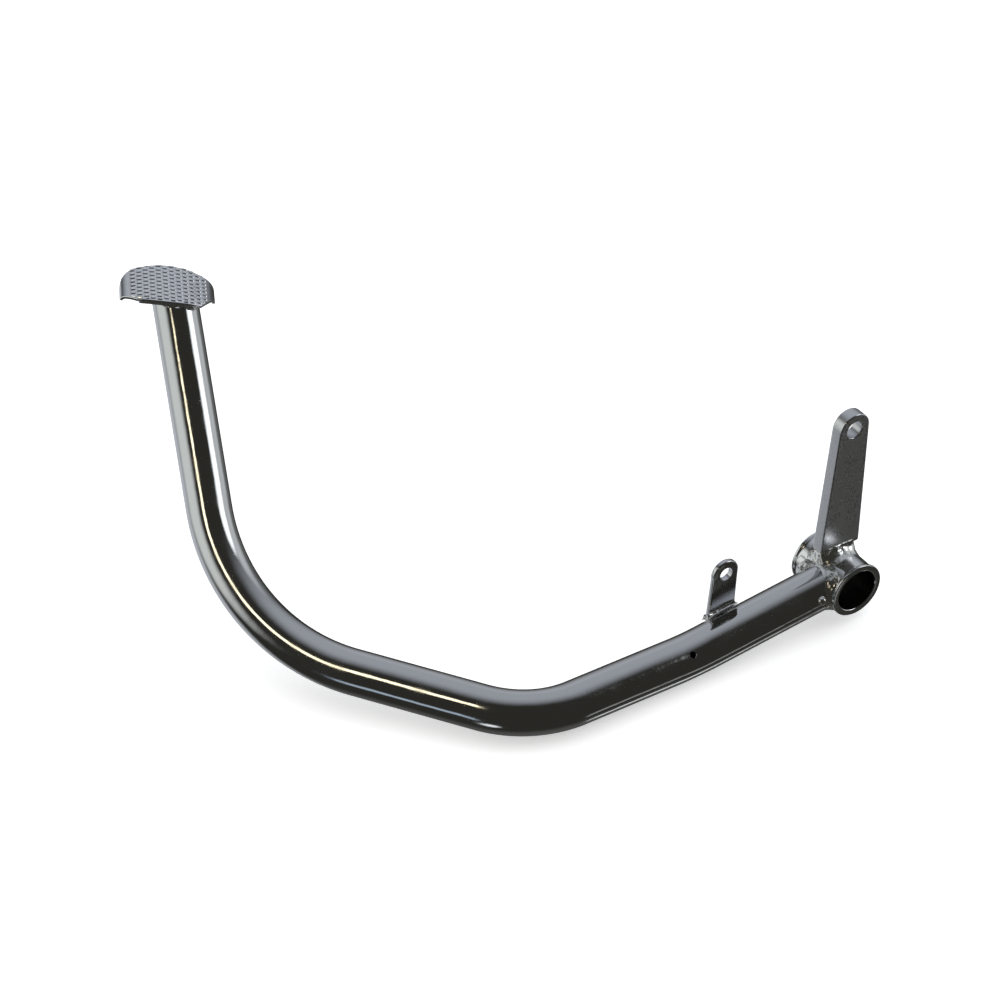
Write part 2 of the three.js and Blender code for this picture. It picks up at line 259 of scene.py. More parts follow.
def tube_rings(radius):
    """Rings of points round the path, carried along without twist."""
    stations = tube_stations()
    side = stations[0][1].cross(Vector((0, 0, 1))).normalized()
    rings = []
    for centre, way, inward, bent in stations:
        side = (side - way * side.dot(way)).normalized()
        other = way.cross(side)
        ring = []
        for k in range(TUBE_SIDES):
            turn = 2 * math.pi * k / TUBE_SIDES
            out = side * math.cos(turn) + other * math.sin(turn)
            out -= inward * out.dot(inward) * BEND_FLATTEN * bent
            ring.append(centre + out * radius)
        rings.append(ring)
    return rings


def cope_to_boss(ring, way, radius):
    """Slides each point of a ring along the tube until it lies on a cylinder about the pivot."""
    coped = []
    for p in ring:
        a = way.x**2 + way.z**2
        b = 2 * (p.x * way.x + p.z * way.z)
        c = p.x**2 + p.z**2 - radius**2
        slide = (-b + math.sqrt(max(0.0, b * b - 4 * a * c))) / (2 * a)
        coped.append(p + way * slide)
    return coped


def cut_at_pad(ring, way, depth):
    """Slides each point of a ring along the tube to the plane at that depth under the tread."""
    up = PAD_PLACE.to_3x3() @ Vector((0, 0, 1))
    floor = PAD_CENTRE - up * depth
    return [p + way * ((floor - p).dot(up) / way.dot(up)) for p in ring]


pad_up = PAD_LENGTH_WAY.cross(PAD_WIDTH_WAY).normalized()
pad_across = pad_up.cross(PAD_LENGTH_WAY).normalized()
PAD_PLACE = Matrix((PAD_LENGTH_WAY, pad_across, pad_up)).transposed().to_4x4()
PAD_PLACE.translation = PAD_CENTRE
TUBE_OUT = (TUBE_CORNERS[0][0] - TUBE_START).normalized()
TUBE_IN = (TUBE_END - TUBE_CORNERS[-1][0]).normalized()


# ---- pieces ----------------------------------------------------------------------------------------
def make_tube():
    def shell(radius):
        """The tube's surface at one radius: the end rings are cut, and none lies past a cut."""
        margin = 0.5
        rings = tube_rings(radius)
        first = cope_to_boss(rings[0], TUBE_OUT, 0.5 * (BORE_R + BOSS_R))
        last = cut_at_pad(rings[-1], TUBE_IN, PAD_SHEET / 2)
        clear_of_boss = max((p - TUBE_START).dot(TUBE_OUT) for p in first) + margin
        clear_of_pad = max((TUBE_END - p).dot(TUBE_IN) for p in last) + margin
        kept = []
        for ring in rings:
            middle = sum(ring, Vector()) / len(ring)
            to_end = TUBE_END - middle
            near_start = (middle - TUBE_START).dot(TUBE_OUT) < clear_of_boss
            near_end = to_end.length < 4 * TUBE_R and to_end.dot(TUBE_IN) < clear_of_pad
            if not near_start and not near_end:
                kept.append(ring)
        return [first] + kept + [last]

    outer, inner = shell(TUBE_R), shell(TUBE_R - TUBE_WALL)
    rings = outer + inner[::-1]
    points = [p for ring in rings for p in ring]
    tube = add_mesh("tube_body", points, torus_faces(len(rings), TUBE_SIDES))
    return drill_vent(tube)


def drill_vent(tube):
    """Cuts the plating drain hole, halfway between the tube's -Y side and its top."""
    travelled = 0.0
    stations = tube_stations()
    for here, there in zip(stations, stations[1:]):
        travelled += (there[0] - here[0]).length
        if travelled >= VENT_ALONG:
            middle = there[0]
            break
    rim, top = TUBE_R - 0.25, TUBE_R + 0.6
    profile = [(AXIS_R, 0), (VENT_R, 0), (VENT_R, rim), (VENT_R + VENT_FLARE, top), (AXIS_R, top)]
    drill = turned("drill", profile, sides=32)
    spin = Vector((0, 1, 0)).rotation_difference(Vector((0, -1, 1))).to_matrix().to_4x4()
    in_place(drill, Matrix.Translation(middle) @ spin)
    cut_by(tube, drill)
    tube.data.set_sharp_from_angle(angle=math.radians(35))
    return tube


def cut_by(obj, cutter):
    modifier = obj.modifiers.new("cut", "BOOLEAN")
    modifier.operation = "DIFFERENCE"
    modifier.solver = "EXACT"
    modifier.object = cutter
    bake(obj)
    bpy.data.objects.remove(cutter)


def make_boss():
    """A sleeve with rounded lips, a cove behind each lip, and a chamfered bore."""
    edge = LIP_EDGE_R
    cove = BOSS_HALF - LIP_WIDTH - LIP_COVE
    upper = [(BOSS_R, cove * k / 6) for k in range(7)]
    for k in range(1, 8):
        t = k / 8
        upper.append((BOSS_R + (LIP_R - BOSS_R) * t * t, cove + LIP_COVE * math.sin(math.pi / 2 * t)))
    upper += [(LIP_R - 0.02, BOSS_HALF - LIP_WIDTH + 0.2)]
    upper += arc((LIP_R - edge, BOSS_HALF - edge), edge, 0, 90, 6)
    upper += [(BORE_R + BORE_CHAMFER + 0.2, BOSS_HALF)]
    upper += arc((BORE_R + BORE_CHAMFER, BOSS_HALF - BORE_CHAMFER), BORE_CHAMFER, 90, 180, 6)
    upper += [(BORE_R, cove), (BORE_R, cove / 2)]
    lower = [(r, -h) for r, h in reversed(upper[1:])]
    return turned("boss_body", lower + upper)


def arm_outline():
    rise = ARM_LENGTH - ARM_FOOT
    reach = math.hypot(ARM_FOOT_HALF, rise)
    side = math.acos(ARM_TIP_R / reach) - math.atan2(rise, ARM_FOOT_HALF)
    tip = arc((0, ARM_LENGTH), ARM_TIP_R, math.degrees(side), 180 - math.degrees(side), 40)
    corner = ARM_CORNER_R
    foot = arc((-ARM_FOOT_HALF + corner, ARM_FOOT + corner), corner, 180, 270, 5)
    foot += arc((ARM_FOOT_HALF - corner, ARM_FOOT + corner), corner, 270, 360, 5)
    return foot + tip


def make_arm():
    hole = arc((0, ARM_LENGTH), CLEVIS_R, 0, 360, 49)[:-1]
    arm = plate("arm_plate", [arm_outline(), hole], ARM_THICK, ARM_EDGE_R)
    in_place(arm, ARM_PLACE)
    return weight_normals(arm)


def burnish_edges(arm, material):
    """Gives the plate's rounded edges, which face neither along Y nor square to it, a material."""
    arm.data.materials.append(material)
    for face in arm.data.polygons:
        if 0.15 < abs(face.normal.y) < 0.97:
            face.material_index = 1


ARM_PLACE = Matrix.Rotation(ARM_LEAN, 4, "Y") @ Matrix.Translation((0, ARM_Y, 0))

tab_slope = math.atan2(TUBE_START.z - TUBE_CORNERS[0][0].z, TUBE_START.x - TUBE_CORNERS[0][0].x)
tab_rise = (TAB_X - TUBE_START.x) * math.tan(tab_slope)
TAB_TOP_LINE = TUBE_START.z + tab_rise + TUBE_R / math.cos(tab_slope)
TAB_PLACE = Matrix.Translation((TAB_X, 0, TAB_TOP_LINE)) @ Matrix.Rotation(-tab_slope, 4, "Y")


def tube_drop(y):
    """How far the tube's surface lies under its top line, at a place across it."""
    return TUBE_R - math.sqrt(TUBE_R**2 - y**2)


def make_tab():
    """A small plate whose lower edge stops just inside the tube's wall."""
    lowest = -tube_drop(TAB_FACE_Y + TAB_THICK) - 0.6
    rim = [(-TAB_HALF, lowest), (TAB_HALF, lowest)]
    rim += arc((TAB_SKEW, TAB_HOLE_UP), TAB_TIP_R, 2, 182, 40)
    tab = plate("tab_plate", [rim], TAB_THICK, TAB_EDGE_R)
    r, past = TAB_HOLE_R, TAB_THICK
    drill = turned("tab_drill", [(AXIS_R, -past), (r, -past), (r, past), (AXIS_R, past)])
    in_place(drill, Matrix.Translation((TAB_SKEW, 0, TAB_HOLE_UP)))
    cut_by(tab, drill)
    tab.data.set_sharp_from_angle(angle=math.radians(50))
    in_place(tab, TAB_PLACE @ Matrix.Translation((0, TAB_FACE_Y + TAB_THICK / 2, 0)))
    return weight_normals(tab)


# ---- foot pad --------------------------------------------------------------------------------------
def quadratic(a, b, c, t):
    return (1 - t) ** 2 * np.array(a) + 2 * t * (1 - t) * np.array(b) + t**2 * np.array(c)


def curve_points(a, b, c, count):
    return [quadratic(a, b, c, t) for t in np.linspace(0, 1, count)]


def tread_profile():
    """The tread's curve along the pad, from one skirt's edge to the other: (x, z) points."""
    end, side = PAD_HALF_LENGTH, PAD_SHOULDER[0]
    knee = -PAD_ARCH - 2 * PAD_ARCH / side * (end - side)
    bend = curve_points((side, -PAD_ARCH), (end, knee), (end, -PAD_END_SKIRT), 60)
    crown = curve_points((-side, -PAD_ARCH), (0, PAD_ARCH), (side, -PAD_ARCH), 120)
    left = [p * (-1, 1) for p in reversed(bend)]
    return np.array(left[:-1] + crown[:-1] + bend)


def pad_edges(x):
    """How far the pad reaches across at a place along it: (near, far)."""
    side, wide = PAD_SHOULDER
    if abs(x) <= side:
        reach = wide + PAD_BOW * (1 - (x / side) ** 2)
        return -reach, reach
    out = min(1.0, (abs(x) - side) / (PAD_HALF_LENGTH - side))
    shift = PAD_END_SHIFT if x > 0 else -PAD_END_SHIFT
    near = -wide + out * (shift - PAD_END_HALF + wide)
    t = 1 - math.sqrt(1 - out)
    corner = wide - 2 * PAD_BOW / side * (PAD_HALF_LENGTH - side)
    far = (1 - t) ** 2 * wide + 2 * t * (1 - t) * corner + t**2 * (shift + PAD_END_HALF)
    return near, far


def smooth_step(value, low, high):
    t = min(1.0, max(0.0, (value - low) / (high - low)))
    return t * t * (3 - 2 * t)


def knurl(along, across):
    """Height of the staggered raised lozenges at a place on the tread."""
    column = math.floor(along / KNURL_PITCH[0])
    shift = 0.5 * (column % 2)
    u = along / KNURL_PITCH[0] - column - 0.5
    v = across / KNURL_PITCH[1] + shift
    v = v - math.floor(v) - 0.5
    flat_along = 1 - smooth_step(abs(u), KNURL_TOP[0], KNURL_FOOT[0])
    flat_across = 1 - smooth_step(abs(v), KNURL_TOP[1], KNURL_FOOT[1])
    return KNURL_HEIGHT * flat_along * flat_across


def pad_section(near, far, drop):
    """Points across the pad, down both edges: (place across, depth under the tread)."""
    edges = []
    for sign, edge in ((-1, near), (1, far)):
        points = [(edge, drop), (edge, 0.5 * (drop + PAD_EDGE_R))]
        for turn in np.radians(np.linspace(90, 0, 7))[:-1]:
            inset = PAD_EDGE_R * (1 - math.sin(turn))
            points.append((edge - sign * inset, PAD_EDGE_R * (1 - math.cos(turn))))
        edges.append(points)
    start, stop = near + PAD_EDGE_R, far - PAD_EDGE_R
    flat = [(start + (stop - start) * t, 0.0) for t in np.linspace(0, 1, PAD_COLUMNS)]
    return edges[0] + flat + edges[1][::-1]


def sheet_faces(rows, columns):
    """Faces of a closed sheet whose upper points come before its lower ones."""
    base = rows * columns
    upper = grid_faces(rows, columns)
    faces = upper + [tuple(base + k for k in reversed(face)) for face in upper]
    starts = range(0, base - columns, columns)
    sides = [(i + j, i + j + columns) for i in starts for j in (0, columns - 1)]
    ends = [(i + j, i + j + 1) for j in range(columns - 1) for i in (0, base - columns)]
    return faces + [(a, b, base + b, base + a) for a, b in sides + ends]


def make_pad():
    """A closed sheet: the knurled tread, its skirts, and a smooth underside."""
    profile = tread_profile()
    steps = np.hypot(*np.diff(profile, axis=0).T)
    length = np.concatenate([[0], np.cumsum(steps)])
    middle = length[-1] / 2
    upper, lower = [], []
    for s in np.linspace(0, length[-1], PAD_ROWS):
        i = np.searchsorted(length, s).clip(1, len(length) - 1)
        along = (profile[i] - profile[i - 1]) / steps[i - 1]
        normal = np.array([-along[1], along[0]])
        tread = np.array([np.interp(s, length, profile[:, 0]), np.interp(s, length, profile[:, 1])])
        near, far = pad_edges(tread[0])
        beside_skirt = abs(tread[0]) < PAD_SHOULDER[0] - PAD_SKIRT_INSET
        section = pad_section(near, far, PAD_SIDE_SKIRT if beside_skirt else PAD_SHEET + PAD_LEAST_EDGE)
        height = smooth_step(middle - abs(s - middle), KNURL_START, KNURL_START + KNURL_FADE)
        for y, fall in section:
            rim = smooth_step(min(y - near, far - y), *KNURL_RIM)
            spot = tread + normal * (knurl(s - middle, y) * height * rim - fall)
            upper.append((spot[0], y, spot[1]))
            spot = tread - normal * max(fall, PAD_SHEET)
            lower.append((spot[0], min(max(y, near + PAD_SHEET), far - PAD_SHEET), spot[1]))
    faces = sheet_faces(PAD_ROWS, len(upper) // PAD_ROWS)
    pad = add_mesh("pad_tread", upper + lower, faces, PAD_PLACE)
    pad.data.set_sharp_from_angle(angle=math.radians(50))
    return pad


# ---- weld metal ------------------------------------------------------------------------------------
def weld_from_drops(name, drops, voxel, smoothing):
    """Weld metal as overlapping drops (centre, radii) melted into one lumpy solid."""
    work = bmesh.new()
    for centre, radii in drops:
        stretch = Matrix.Diagonal((*[r * MM for r in radii], 1))
        place = Matrix.Translation(centre * MM) @ stretch
        bmesh.ops.create_icosphere(work, subdivisions=3, radius=1, matrix=place)
    mesh = bpy.data.meshes.new(name)
    work.to_mesh(mesh)
    work.free()
    obj = bpy.data.objects.new(name, mesh)
    bpy.context.scene.collection.objects.link(obj)
    remesh = obj.modifiers.new("melt", "REMESH")
    remesh.mode = "VOXEL"
    remesh.voxel_size = voxel * MM
    remesh.use_smooth_shade = True
    relax = obj.modifiers.new("relax", "SMOOTH")
    relax.factor = 0.6
    relax.iterations = smoothing
    bake(obj)
    obj.data.polygons.foreach_set("use_smooth", [True] * len(obj.data.polygons))
    return obj


def uneven(k, amount, seed):
    return 1 + amount * noise.noise(Vector((k * 0.83, seed, 0.37)))


def ring_about_tube(cut, count):
    """Points round the tube's outside where a cut of the tube lies."""
    ring = tube_rings(TUBE_R)[cut]
    return [ring[round(k * TUBE_SIDES / count) % TUBE_SIDES] for k in range(count)]


def fillet(name, rims, place=None, down=16):
    """A concave sweep of weld metal between two closed rims, lumpy along its middle.

    rims is a list of (top, corner, bottom, lumpiness); the surface leans towards the corner.
    """
    rows = [[] for _ in range(down)]
    for top, corner, bottom, lumps in rims:
        away = (top + bottom - corner * 2).normalized()
        for i in range(down):
            t = i / (down - 1)
            p = Vector(quadratic(top, corner, bottom, t))
            ripple = noise.noise(p * 0.55) + 0.5 * noise.noise(p * 1.3)
            rows[i].append(p + away * lumps * ripple * math.sin(math.pi * t))
    points = [p for row in rows for p in row]
    around = len(rims)
    faces = grid_faces(down, around, wrap_columns=True)
    faces.append(tuple(range(around)))
    faces.append(tuple((down - 1) * around + k for k in reversed(range(around))))
    return add_mesh(name, points, faces, place)


def make_tube_weld():
    """Broad fillet all round the tube, onto the sleeve and as far as its near lip."""
    along, onto = 4.6, 4.8  # reach along the tube, and onto the sleeve
    vary_along, vary_onto = 1.6, 1.2
    sunk = 0.1
    lip = -BOSS_HALF + 0.9
    seam = cope_to_boss(ring_about_tube(0, TUBE_SIDES), TUBE_OUT, BOSS_R - sunk)
    rims = []
    for p in seam:
        out = (p - TUBE_START - TUBE_OUT * (p - TUBE_START).dot(TUBE_OUT)).normalized()
        top = p + TUBE_OUT * (along + vary_along * noise.noise(out * 1.9)) - out * sunk
        low = p + out * (onto + vary_onto * noise.noise(out * 2.3 + Vector((7, 0, 0))))
        low.y = max(lip, low.y)
        shrink = (BOSS_R - 1.5 * sunk) / math.hypot(low.x, low.z)
        low.x *= shrink
        low.z *= shrink
        rims.append((top, p + TUBE_OUT * 0.9 + out * 0.7, low, 1.0))
    drop = seam[round(SEAM_DROP_TURN * TUBE_SIDES)] + TUBE_OUT * SEAM_DROP_OUT
    return with_drop(fillet("bead_tube_to_boss", rims), drop, SEAM_DROP_R)


def with_drop(bead, centre, radius):
    """Adds one round drop of weld metal to a bead's mesh."""
    work = bmesh.new()
    work.from_mesh(bead.data)
    place = Matrix.Translation(centre * MM)
    bmesh.ops.create_icosphere(work, subdivisions=3, radius=radius * MM, matrix=place)
    for face in work.faces:
        face.smooth = True
    work.to_mesh(bead.data)
    work.free()
    return bead


def super_ring(turn, power):
    """A point of a circle squared off towards a square: the higher the power, the squarer."""
    c, s = math.cos(turn), math.sin(turn)
    return Vector((c, s)) * (abs(c) ** power + abs(s) ** power) ** (-1 / power)


def height_on_sleeve(x, radius):
    return math.sqrt(max(4.0, radius**2 - x**2))


def make_arm_weld():
    """A concave fillet from the arm's foot down to the sleeve, all the way round."""
    count = 96
    top_half = Vector((9.4, ARM_THICK / 2 + 0.25))
    low_half = Vector((11.4, 9.4))
    rims = []
    for k in range(count):
        turn = 2 * math.pi * k / count
        square, oval = super_ring(turn, 5), super_ring(turn, 3)
        wave = noise.noise(Vector((math.cos(turn) * 3.1, math.sin(turn) * 3.1, 2.2)))
        x_top, y_top = top_half.x * square.x, top_half.y * square.y
        x_low, y_low = low_half.x * oval.x, (low_half.y + 1.3 * wave) * oval.y
        climb = smooth_step(abs(y_top), 2.2, 3.2) * (1.9 + 1.1 * wave)
        top = Vector((x_top, y_top, ARM_FOOT + 0.1 + climb))
        low = Vector((x_low, y_low, height_on_sleeve(x_low, BOSS_R - 0.1)))
        corner = Vector((x_top * 1.01, y_top * 1.2, height_on_sleeve(x_top, BOSS_R) + 0.9))
        rims.append((top, corner, low, 0.4))
    return fillet("bead_arm_to_boss", rims, Matrix.Translation((0, ARM_Y, 0)))


def make_pad_weld():
    below_sheet = 1.4
    seam = cut_at_pad(ring_about_tube(-1, 44), TUBE_IN, PAD_SHEET + below_sheet)
    inverse = PAD_PLACE.inverted()
    drops = []
    for k, p in enumerate(seam):
        local = inverse @ p
        local.y = min(max(local.y, -PAD_BEAD_REACH), PAD_BEAD_REACH)
        size = PAD_BEAD_R * uneven(k, 0.35, 9.3)
        drops.append((PAD_PLACE @ local, (size, size, size * 0.8)))
    return weld_from_drops("bead_pad_to_tube", drops, voxel=0.4, smoothing=4)


def make_tab_weld(name, face_y, way, reach, seed):
    """Concave fillet along one face of the tab, rounded at the ends, its back hidden in the tab."""
    rims = []
    count = 48
    for k in range(count):
        turn = math.pi * k / (count - 1)
        square = super_ring(turn, 5)
        wave = noise.noise(Vector((2.5 * math.cos(turn), seed, 0.37)))
        swell = smooth_step(abs(math.cos(turn)), 0.55, 0.9)
        x, y = TAB_HALF * square.x, face_y + way * 0.1
        x_low = (TAB_HALF + 1.1) * square.x
        y_low = face_y + way * reach * (square.y + 0.3 * wave * math.sin(turn))
        top = Vector((x, y, 1.5 + 0.5 * wave + swell - tube_drop(y)))
        low = Vector((x_low, y_low, -0.1 - tube_drop(y_low)))
        corner = Vector((x, y + way * 0.4, 0.6 + 0.7 * swell - tube_drop(y)))
        rims.append((top, corner, low, 0.2))
    hidden_y = face_y - 0.5 * way * TAB_THICK
    for x in (-0.8 * TAB_HALF, 0.8 * TAB_HALF):
        top = Vector((x, hidden_y, 1.2 - tube_drop(face_y)))
        low = Vector((x, hidden_y, -0.4 - tube_drop(face_y)))
        rims.append((top, (top + low) / 2, low, 0.0))
    return fillet(name, rims, TAB_PLACE)


# ---- chrome ----------------------------------------------------------------------------------------
class Chrome:
    """A node material for plated steel, built up a layer at a time."""

    def __init__(self, name, colour, roughness):
        self.material = bpy.data.materials.new(name)
        self.material.use_nodes = True
        self.tree = self.material.node_tree
        self.shader = self.tree.nodes["Principled BSDF"]
        self.shader.inputs["Metallic"].default_value = 1.0
        self.shader.inputs["Base Color"].default_value = (*colour, 1)
        self.shader.inputs["Roughness"].default_value = roughness
        self.colour = colour
        self.place = self.tree.nodes.new("ShaderNodeTexCoord").outputs["Object"]
        self.normal = None

    def node(self, kind, **settings):
        made = self.tree.nodes.new(kind)
        for key, value in settings.items():
            if hasattr(made, key):
                setattr(made, key, value)
            else:
                made.inputs[key].default_value = value
        return made

    def link(self, output, socket):
        self.tree.links.new(output, socket)

    def noise(self, size_mm, detail=3.0, distortion=0.0):
        scale = 1 / (size_mm * MM)
        made = self.node("ShaderNodeTexNoise", Scale=scale, Detail=detail, Distortion=distortion)
        self.link(self.place, made.inputs["Vector"])
        return made.outputs["Fac"]

    def span(self, value, low, high, out_low, out_high):
        made = self.node("ShaderNodeMapRange", interpolation_type="SMOOTHSTEP")
        for socket, number in zip(made.inputs[1:5], (low, high, out_low, out_high)):
            socket.default_value = number
        self.link(value, made.inputs[0])
        return made.outputs[0]

    def total(self, a, b):
        made = self.node("ShaderNodeMath", operation="ADD")
        self.link(a, made.inputs[0])
        self.link(b, made.inputs[1])
        return made.outputs[0]

    def bump(self, height, depth_mm, strength=1.0):
        made = self.node("ShaderNodeBump", Strength=strength, Distance=depth_mm * MM)
        self.link(height, made.inputs["Height"])
        if self.normal is not None:
            self.link(self.normal, made.inputs["Normal"])
        self.normal = made.outputs["Normal"]
        self.link(self.normal, self.shader.inputs["Normal"])

    def haze(self, value):
        """Roughness from a value that is already in roughness units."""
        self.link(value, self.shader.inputs["Roughness"])

    def stain(self, amount, tint):
        """Mixes the colour towards a tint where the amount is high."""
        mix = self.node("ShaderNodeMix", data_type="RGBA")
        mix.inputs["A"].default_value = (*self.colour, 1)
        mix.inputs["B"].default_value = (*tint, 1)
        self.link(amount, mix.inputs["Factor"])
        self.link(mix.outputs["Result"], self.shader.inputs["Base Color"])


def polished_chrome(name, colour):
    chrome = Chrome(name, colour, 0.05)
    smears = chrome.span(chrome.noise(14, 4, 0.6), 0.35, 0.75, 0.06, 0.17)
    specks = chrome.span(chrome.noise(0.8, 2), 0.68, 0.78, 0.0, 0.25)
    chrome.haze(chrome.total(smears, specks))
    chrome.bump(chrome.noise(11, 2), 0.2, 0.6)
    chrome.bump(chrome.noise(1.1, 2), 0.014, 0.5)
    chrome.stain(chrome.span(chrome.noise(1.3, 3), 0.72, 0.8, 0, 0.6), (0.2, 0.17, 0.14))
    return chrome.material


def plate_chrome(name, clean, hazy, metallic=1.0):
    chrome = Chrome(name, (0.66, 0.665, 0.68), clean)
    chrome.shader.inputs["Metallic"].default_value = metallic
    smears = chrome.span(chrome.noise(8, 3, 0.2), 0.35, 0.75, clean, hazy)
    specks = chrome.span(chrome.noise(0.7, 2), 0.68, 0.8, 0.0, 0.25)
    chrome.haze(chrome.total(smears, specks))
    chrome.bump(chrome.noise(6, 2), 0.05, 0.6)
    chrome.bump(chrome.noise(0.8, 3), 0.012, 0.6)
    chrome.stain(chrome.span(chrome.noise(1.6, 3), 0.7, 0.79, 0, 0.7), (0.24, 0.13, 0.08))
    return chrome.material


def bore_steel():
    """Near-black, hazy steel inside the pivot bore, mottled brown."""
    steel = Chrome("bore_steel", (0.03, 0.028, 0.026), 0.45)
    steel.haze(steel.span(steel.noise(3, 4), 0.3, 0.7, 0.3, 0.6))
    steel.bump(steel.noise(0.5, 3), 0.02, 0.7)
    steel.stain(steel.span(steel.noise(2.0, 3), 0.55, 0.75, 0, 0.8), (0.07, 0.045, 0.03))
    return steel.material


def line_bore(boss, material):
    """Gives the faces of the bore a material of their own."""
    boss.data.materials.append(material)
    for face in boss.data.polygons:
        radius = math.hypot(face.center.x, face.center.z) / MM
        if radius < BORE_R + 0.25 * BORE_CHAMFER:
            face.material_index = 1


def satin_chrome():
    chrome = Chrome("chrome_satin", (0.88, 0.89, 0.92), 0.2)
    chrome.haze(chrome.span(chrome.noise(2.5, 4), 0.35, 0.7, 0.1, 0.24))
    chrome.bump(chrome.noise(0.45, 3), 0.02, 0.8)
    chrome.stain(chrome.span(chrome.noise(1.0, 3), 0.6, 0.8, 0, 0.5), (0.3, 0.3, 0.32))
    return chrome.material


def weld_chrome(name, lumps, clean, hazy):
    chrome = Chrome(name, (0.84, 0.84, 0.82), clean)
    chrome.haze(chrome.span(chrome.noise(2.2, 4), 0.35, 0.7, clean, hazy))
    chrome.bump(chrome.noise(2.4, 3, 0.4), lumps, 0.6)
    chrome.bump(chrome.noise(0.6, 3), 0.1 * lumps, 0.6)
    chrome.stain(chrome.span(chrome.noise(1.8, 3), 0.62, 0.76, 0, 0.7), (0.3, 0.24, 0.16))
    return chrome.material


def dress(obj, material, slot_name, *nodes):
    """Gives a piece its material and puts it in place of its CAD node."""
    obj.data.materials.clear()
    obj.data.materials.append(material)
    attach(obj, "root")
    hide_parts(*nodes)


# ---- studio ----------------------------------------------------------------------------------------
def heading(azimuth, elevation):
    """Unit vector: azimuth from +Y towards +X, and elevation above the horizon, in degrees."""
    a, e = math.radians(azimuth), math.radians(elevation)
    return Vector((math.sin(a) * math.cos(e), math.cos(a) * math.cos(e), math.sin(e)))


CAMERA_AT = Vector((-0.7193, -0.8031, 0.9057))
CAMERA_RIGHT = Vector((0.8290, -0.5592, 0.0))
CAMERA_UP = Vector((0.3519, 0.5217, 0.7771))
CAMERA_LENS = 114.9

ROOM = (0.034, 0.033, 0.029)
GLOWS = [  # azimuth, elevation, radius of the full glow, radius where it ends, colour
    (38, 50, 4, 62, (0.41, 0.44, 0.49)),
    (30, 12, 2, 30, (0.10, 0.10, 0.10)),
    (-62, 9, 14, 38, (0.78, 0.81, 0.79)),
    (-15, -32, 6, 40, (0.60, 0.63, 0.68)),
    (124, 31, 6, 18, (1.60, 1.65, 1.70)),
    (106, 14, 6, 34, (0.60, 0.62, 0.64)),
    (-109, 43, 3, 7, (2.6, 2.3, 1.6)),
    (-111, -20, 2, 7, (0.45, 0.55, 0.66)),
    (84, -12, 4, 30, (0.13, 0.135, 0.14)),
    (149, -38, 1.5, 5, (0.3, 0.31, 0.3)),
    (115, -61, 1, 5, (1.0, 1.05, 1.05)),
    (-124, -39, 3, 9, (1.2, 1.25, 1.3)),
    (60, -78, 4, 45, (0.07, 0.07, 0.07)),
]


def make_world():
    world = bpy.data.worlds.new("studio")
    world.use_nodes = True
    tree = world.node_tree
    coords = tree.nodes.new("ShaderNodeTexCoord").outputs["Generated"]
    running = None
    for azimuth, elevation, full, none, colour in GLOWS:
        toward = tree.nodes.new("ShaderNodeVectorMath")
        toward.operation = "DOT_PRODUCT"
        tree.links.new(coords, toward.inputs[0])
        toward.inputs[1].default_value = heading(azimuth, elevation)
        fade = tree.nodes.new("ShaderNodeMapRange")
        fade.interpolation_type = "SMOOTHSTEP"
        fade.inputs["From Min"].default_value = math.cos(math.radians(none))
        fade.inputs["From Max"].default_value = math.cos(math.radians(full))
        tree.links.new(toward.outputs["Value"], fade.inputs["Value"])
        add = tree.nodes.new("ShaderNodeVectorMath")
        add.operation = "MULTIPLY_ADD"
        tree.links.new(fade.outputs["Result"], add.inputs[0])
        add.inputs[1].default_value = colour
        add.inputs[2].default_value = ROOM
        if running is not None:
            tree.links.new(running, add.inputs[2])
        running = add.outputs["Vector"]
    tree.links.new(running, tree.nodes["Background"].inputs["Color"])
    bpy.context.scene.world = world


def make_floor():
    """A pale floor that the chrome doesn't mirror, so that the dark room shows in it instead."""
    lowest = CAD_BOX[0][2] / MM
    half = 4000.0
    corners = [(-half, -half), (half, -half), (half, half), (-half, half)]
    floor = add_mesh("floor", [(x, y, lowest - 0.5) for x, y in corners], [(0, 1, 2, 3)])
    floor.visible_glossy = False
    material = bpy.data.materials.new("floor_paper")
    material.use_nodes = True
    shader = material.node_tree.nodes["Principled BSDF"]
    shader.inputs["Base Color"].default_value = (0.9, 0.9, 0.9, 1)
    shader.inputs["Roughness"].default_value = 0.9
    shader.inputs["Specular IOR Level"].default_value = 0.0
    shader.inputs["Emission Color"].default_value = (1, 1, 1, 1)
    shader.inputs["Emission Strength"].default_value = 0.5
    floor.data.materials.append(material)


def make_lights():
    for name, azimuth, elevation, strength in (("sky_a", 20, 75, 1.1), ("sky_b", -120, 60, 0.8)):
        light = bpy.data.lights.new(name, "SUN")
        light.energy = strength
        light.angle = math.radians(100)
        obj = bpy.data.objects.new(name, light)
        obj.rotation_mode = "QUATERNION"
        obj.rotation_quaternion = heading(azimuth, elevation).to_track_quat("Z", "Y")
        obj.visible_glossy = False
        bpy.context.scene.collection.objects.link(obj)


def make_camera():
    camera = bpy.data.cameras.new("camera")
    camera.sensor_width = 36
    camera.lens = CAMERA_LENS
    camera.clip_end = 20
    obj = bpy.data.objects.new("camera", camera)
    back = CAMERA_RIGHT.cross(CAMERA_UP)
    turn = Matrix((CAMERA_RIGHT, CAMERA_UP, back)).transposed().to_4x4()
    obj.matrix_world = Matrix.Translation(CAMERA_AT) @ turn
    bpy.context.scene.collection.objects.link(obj)
    bpy.context.scene.camera = obj


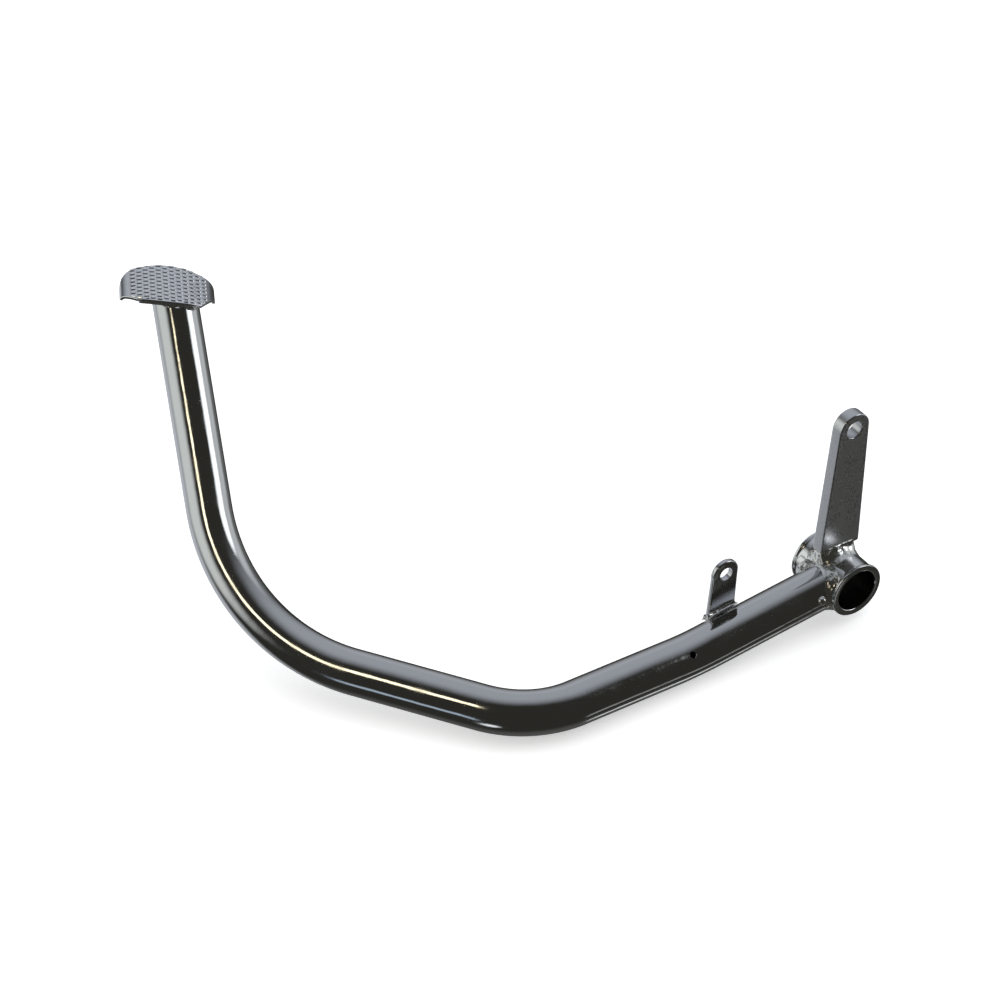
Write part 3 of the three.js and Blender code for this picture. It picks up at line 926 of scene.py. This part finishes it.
# ---- the scene -------------------------------------------------------------------------------------
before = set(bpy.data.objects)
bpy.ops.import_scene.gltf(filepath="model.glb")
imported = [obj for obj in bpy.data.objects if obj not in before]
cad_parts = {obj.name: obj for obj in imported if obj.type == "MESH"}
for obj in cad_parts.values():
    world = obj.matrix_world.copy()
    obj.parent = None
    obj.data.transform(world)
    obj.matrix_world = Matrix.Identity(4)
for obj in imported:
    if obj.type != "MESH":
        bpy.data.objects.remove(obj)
CAD_BOX = [list(corner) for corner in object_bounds()]

make_camera()
make_world()
make_lights()
make_floor()

tube_chrome = polished_chrome("chrome_tube", (0.62, 0.625, 0.63))
# painted highlight: the boss gets a brighter copy of the tube's chrome (0.8 against 0.62), so that it
# looks more brightly lit
lit_boss_chrome = polished_chrome("chrome_boss_brightened", (0.8, 0.805, 0.81))
satin = satin_chrome()
bead = weld_chrome("chrome_weld", 0.6, 0.05, 0.18)
small_bead = weld_chrome("chrome_tab_weld", 0.08, 0.1, 0.2)
arm_plate = plate_chrome("chrome_arm_plate", 0.25, 0.36, 0.96)
arm_edge = plate_chrome("chrome_arm_edge", 0.04, 0.12)
tab_plate = plate_chrome("chrome_tab_plate", 0.07, 0.16)
boss = make_boss()
dress(boss, lit_boss_chrome, "chrome_polished", "pivot_boss")
line_bore(boss, bore_steel())
dress(make_tube(), tube_chrome, "chrome_polished", "lever_tube")
arm = make_arm()
dress(arm, arm_plate, "chrome_plate", "actuator_arm")
burnish_edges(arm, arm_edge)
dress(make_tab(), tab_plate, "chrome_plate", "spring_tab")
dress(make_pad(), satin, "chrome_satin", "foot_pad")
dress(make_tube_weld(), bead, "chrome_weld", "weld_tube_to_boss")
dress(make_arm_weld(), bead, "chrome_weld", "weld_arm_to_boss")
dress(make_pad_weld(), bead, "chrome_weld", "weld_pad_to_tube")
tab_front = make_tab_weld("bead_tab_front", TAB_FACE_Y, -1, reach=2.0, seed=3.3)
dress(tab_front, small_bead, "chrome_weld", "weld_tab_front")
tab_rear = make_tab_weld("bead_tab_rear", TAB_FACE_Y + TAB_THICK, 1, reach=0.9, seed=7.9)
dress(tab_rear, small_bead, "chrome_weld", "weld_tab_rear")

bpy.context.scene.view_settings.view_transform = "Standard"
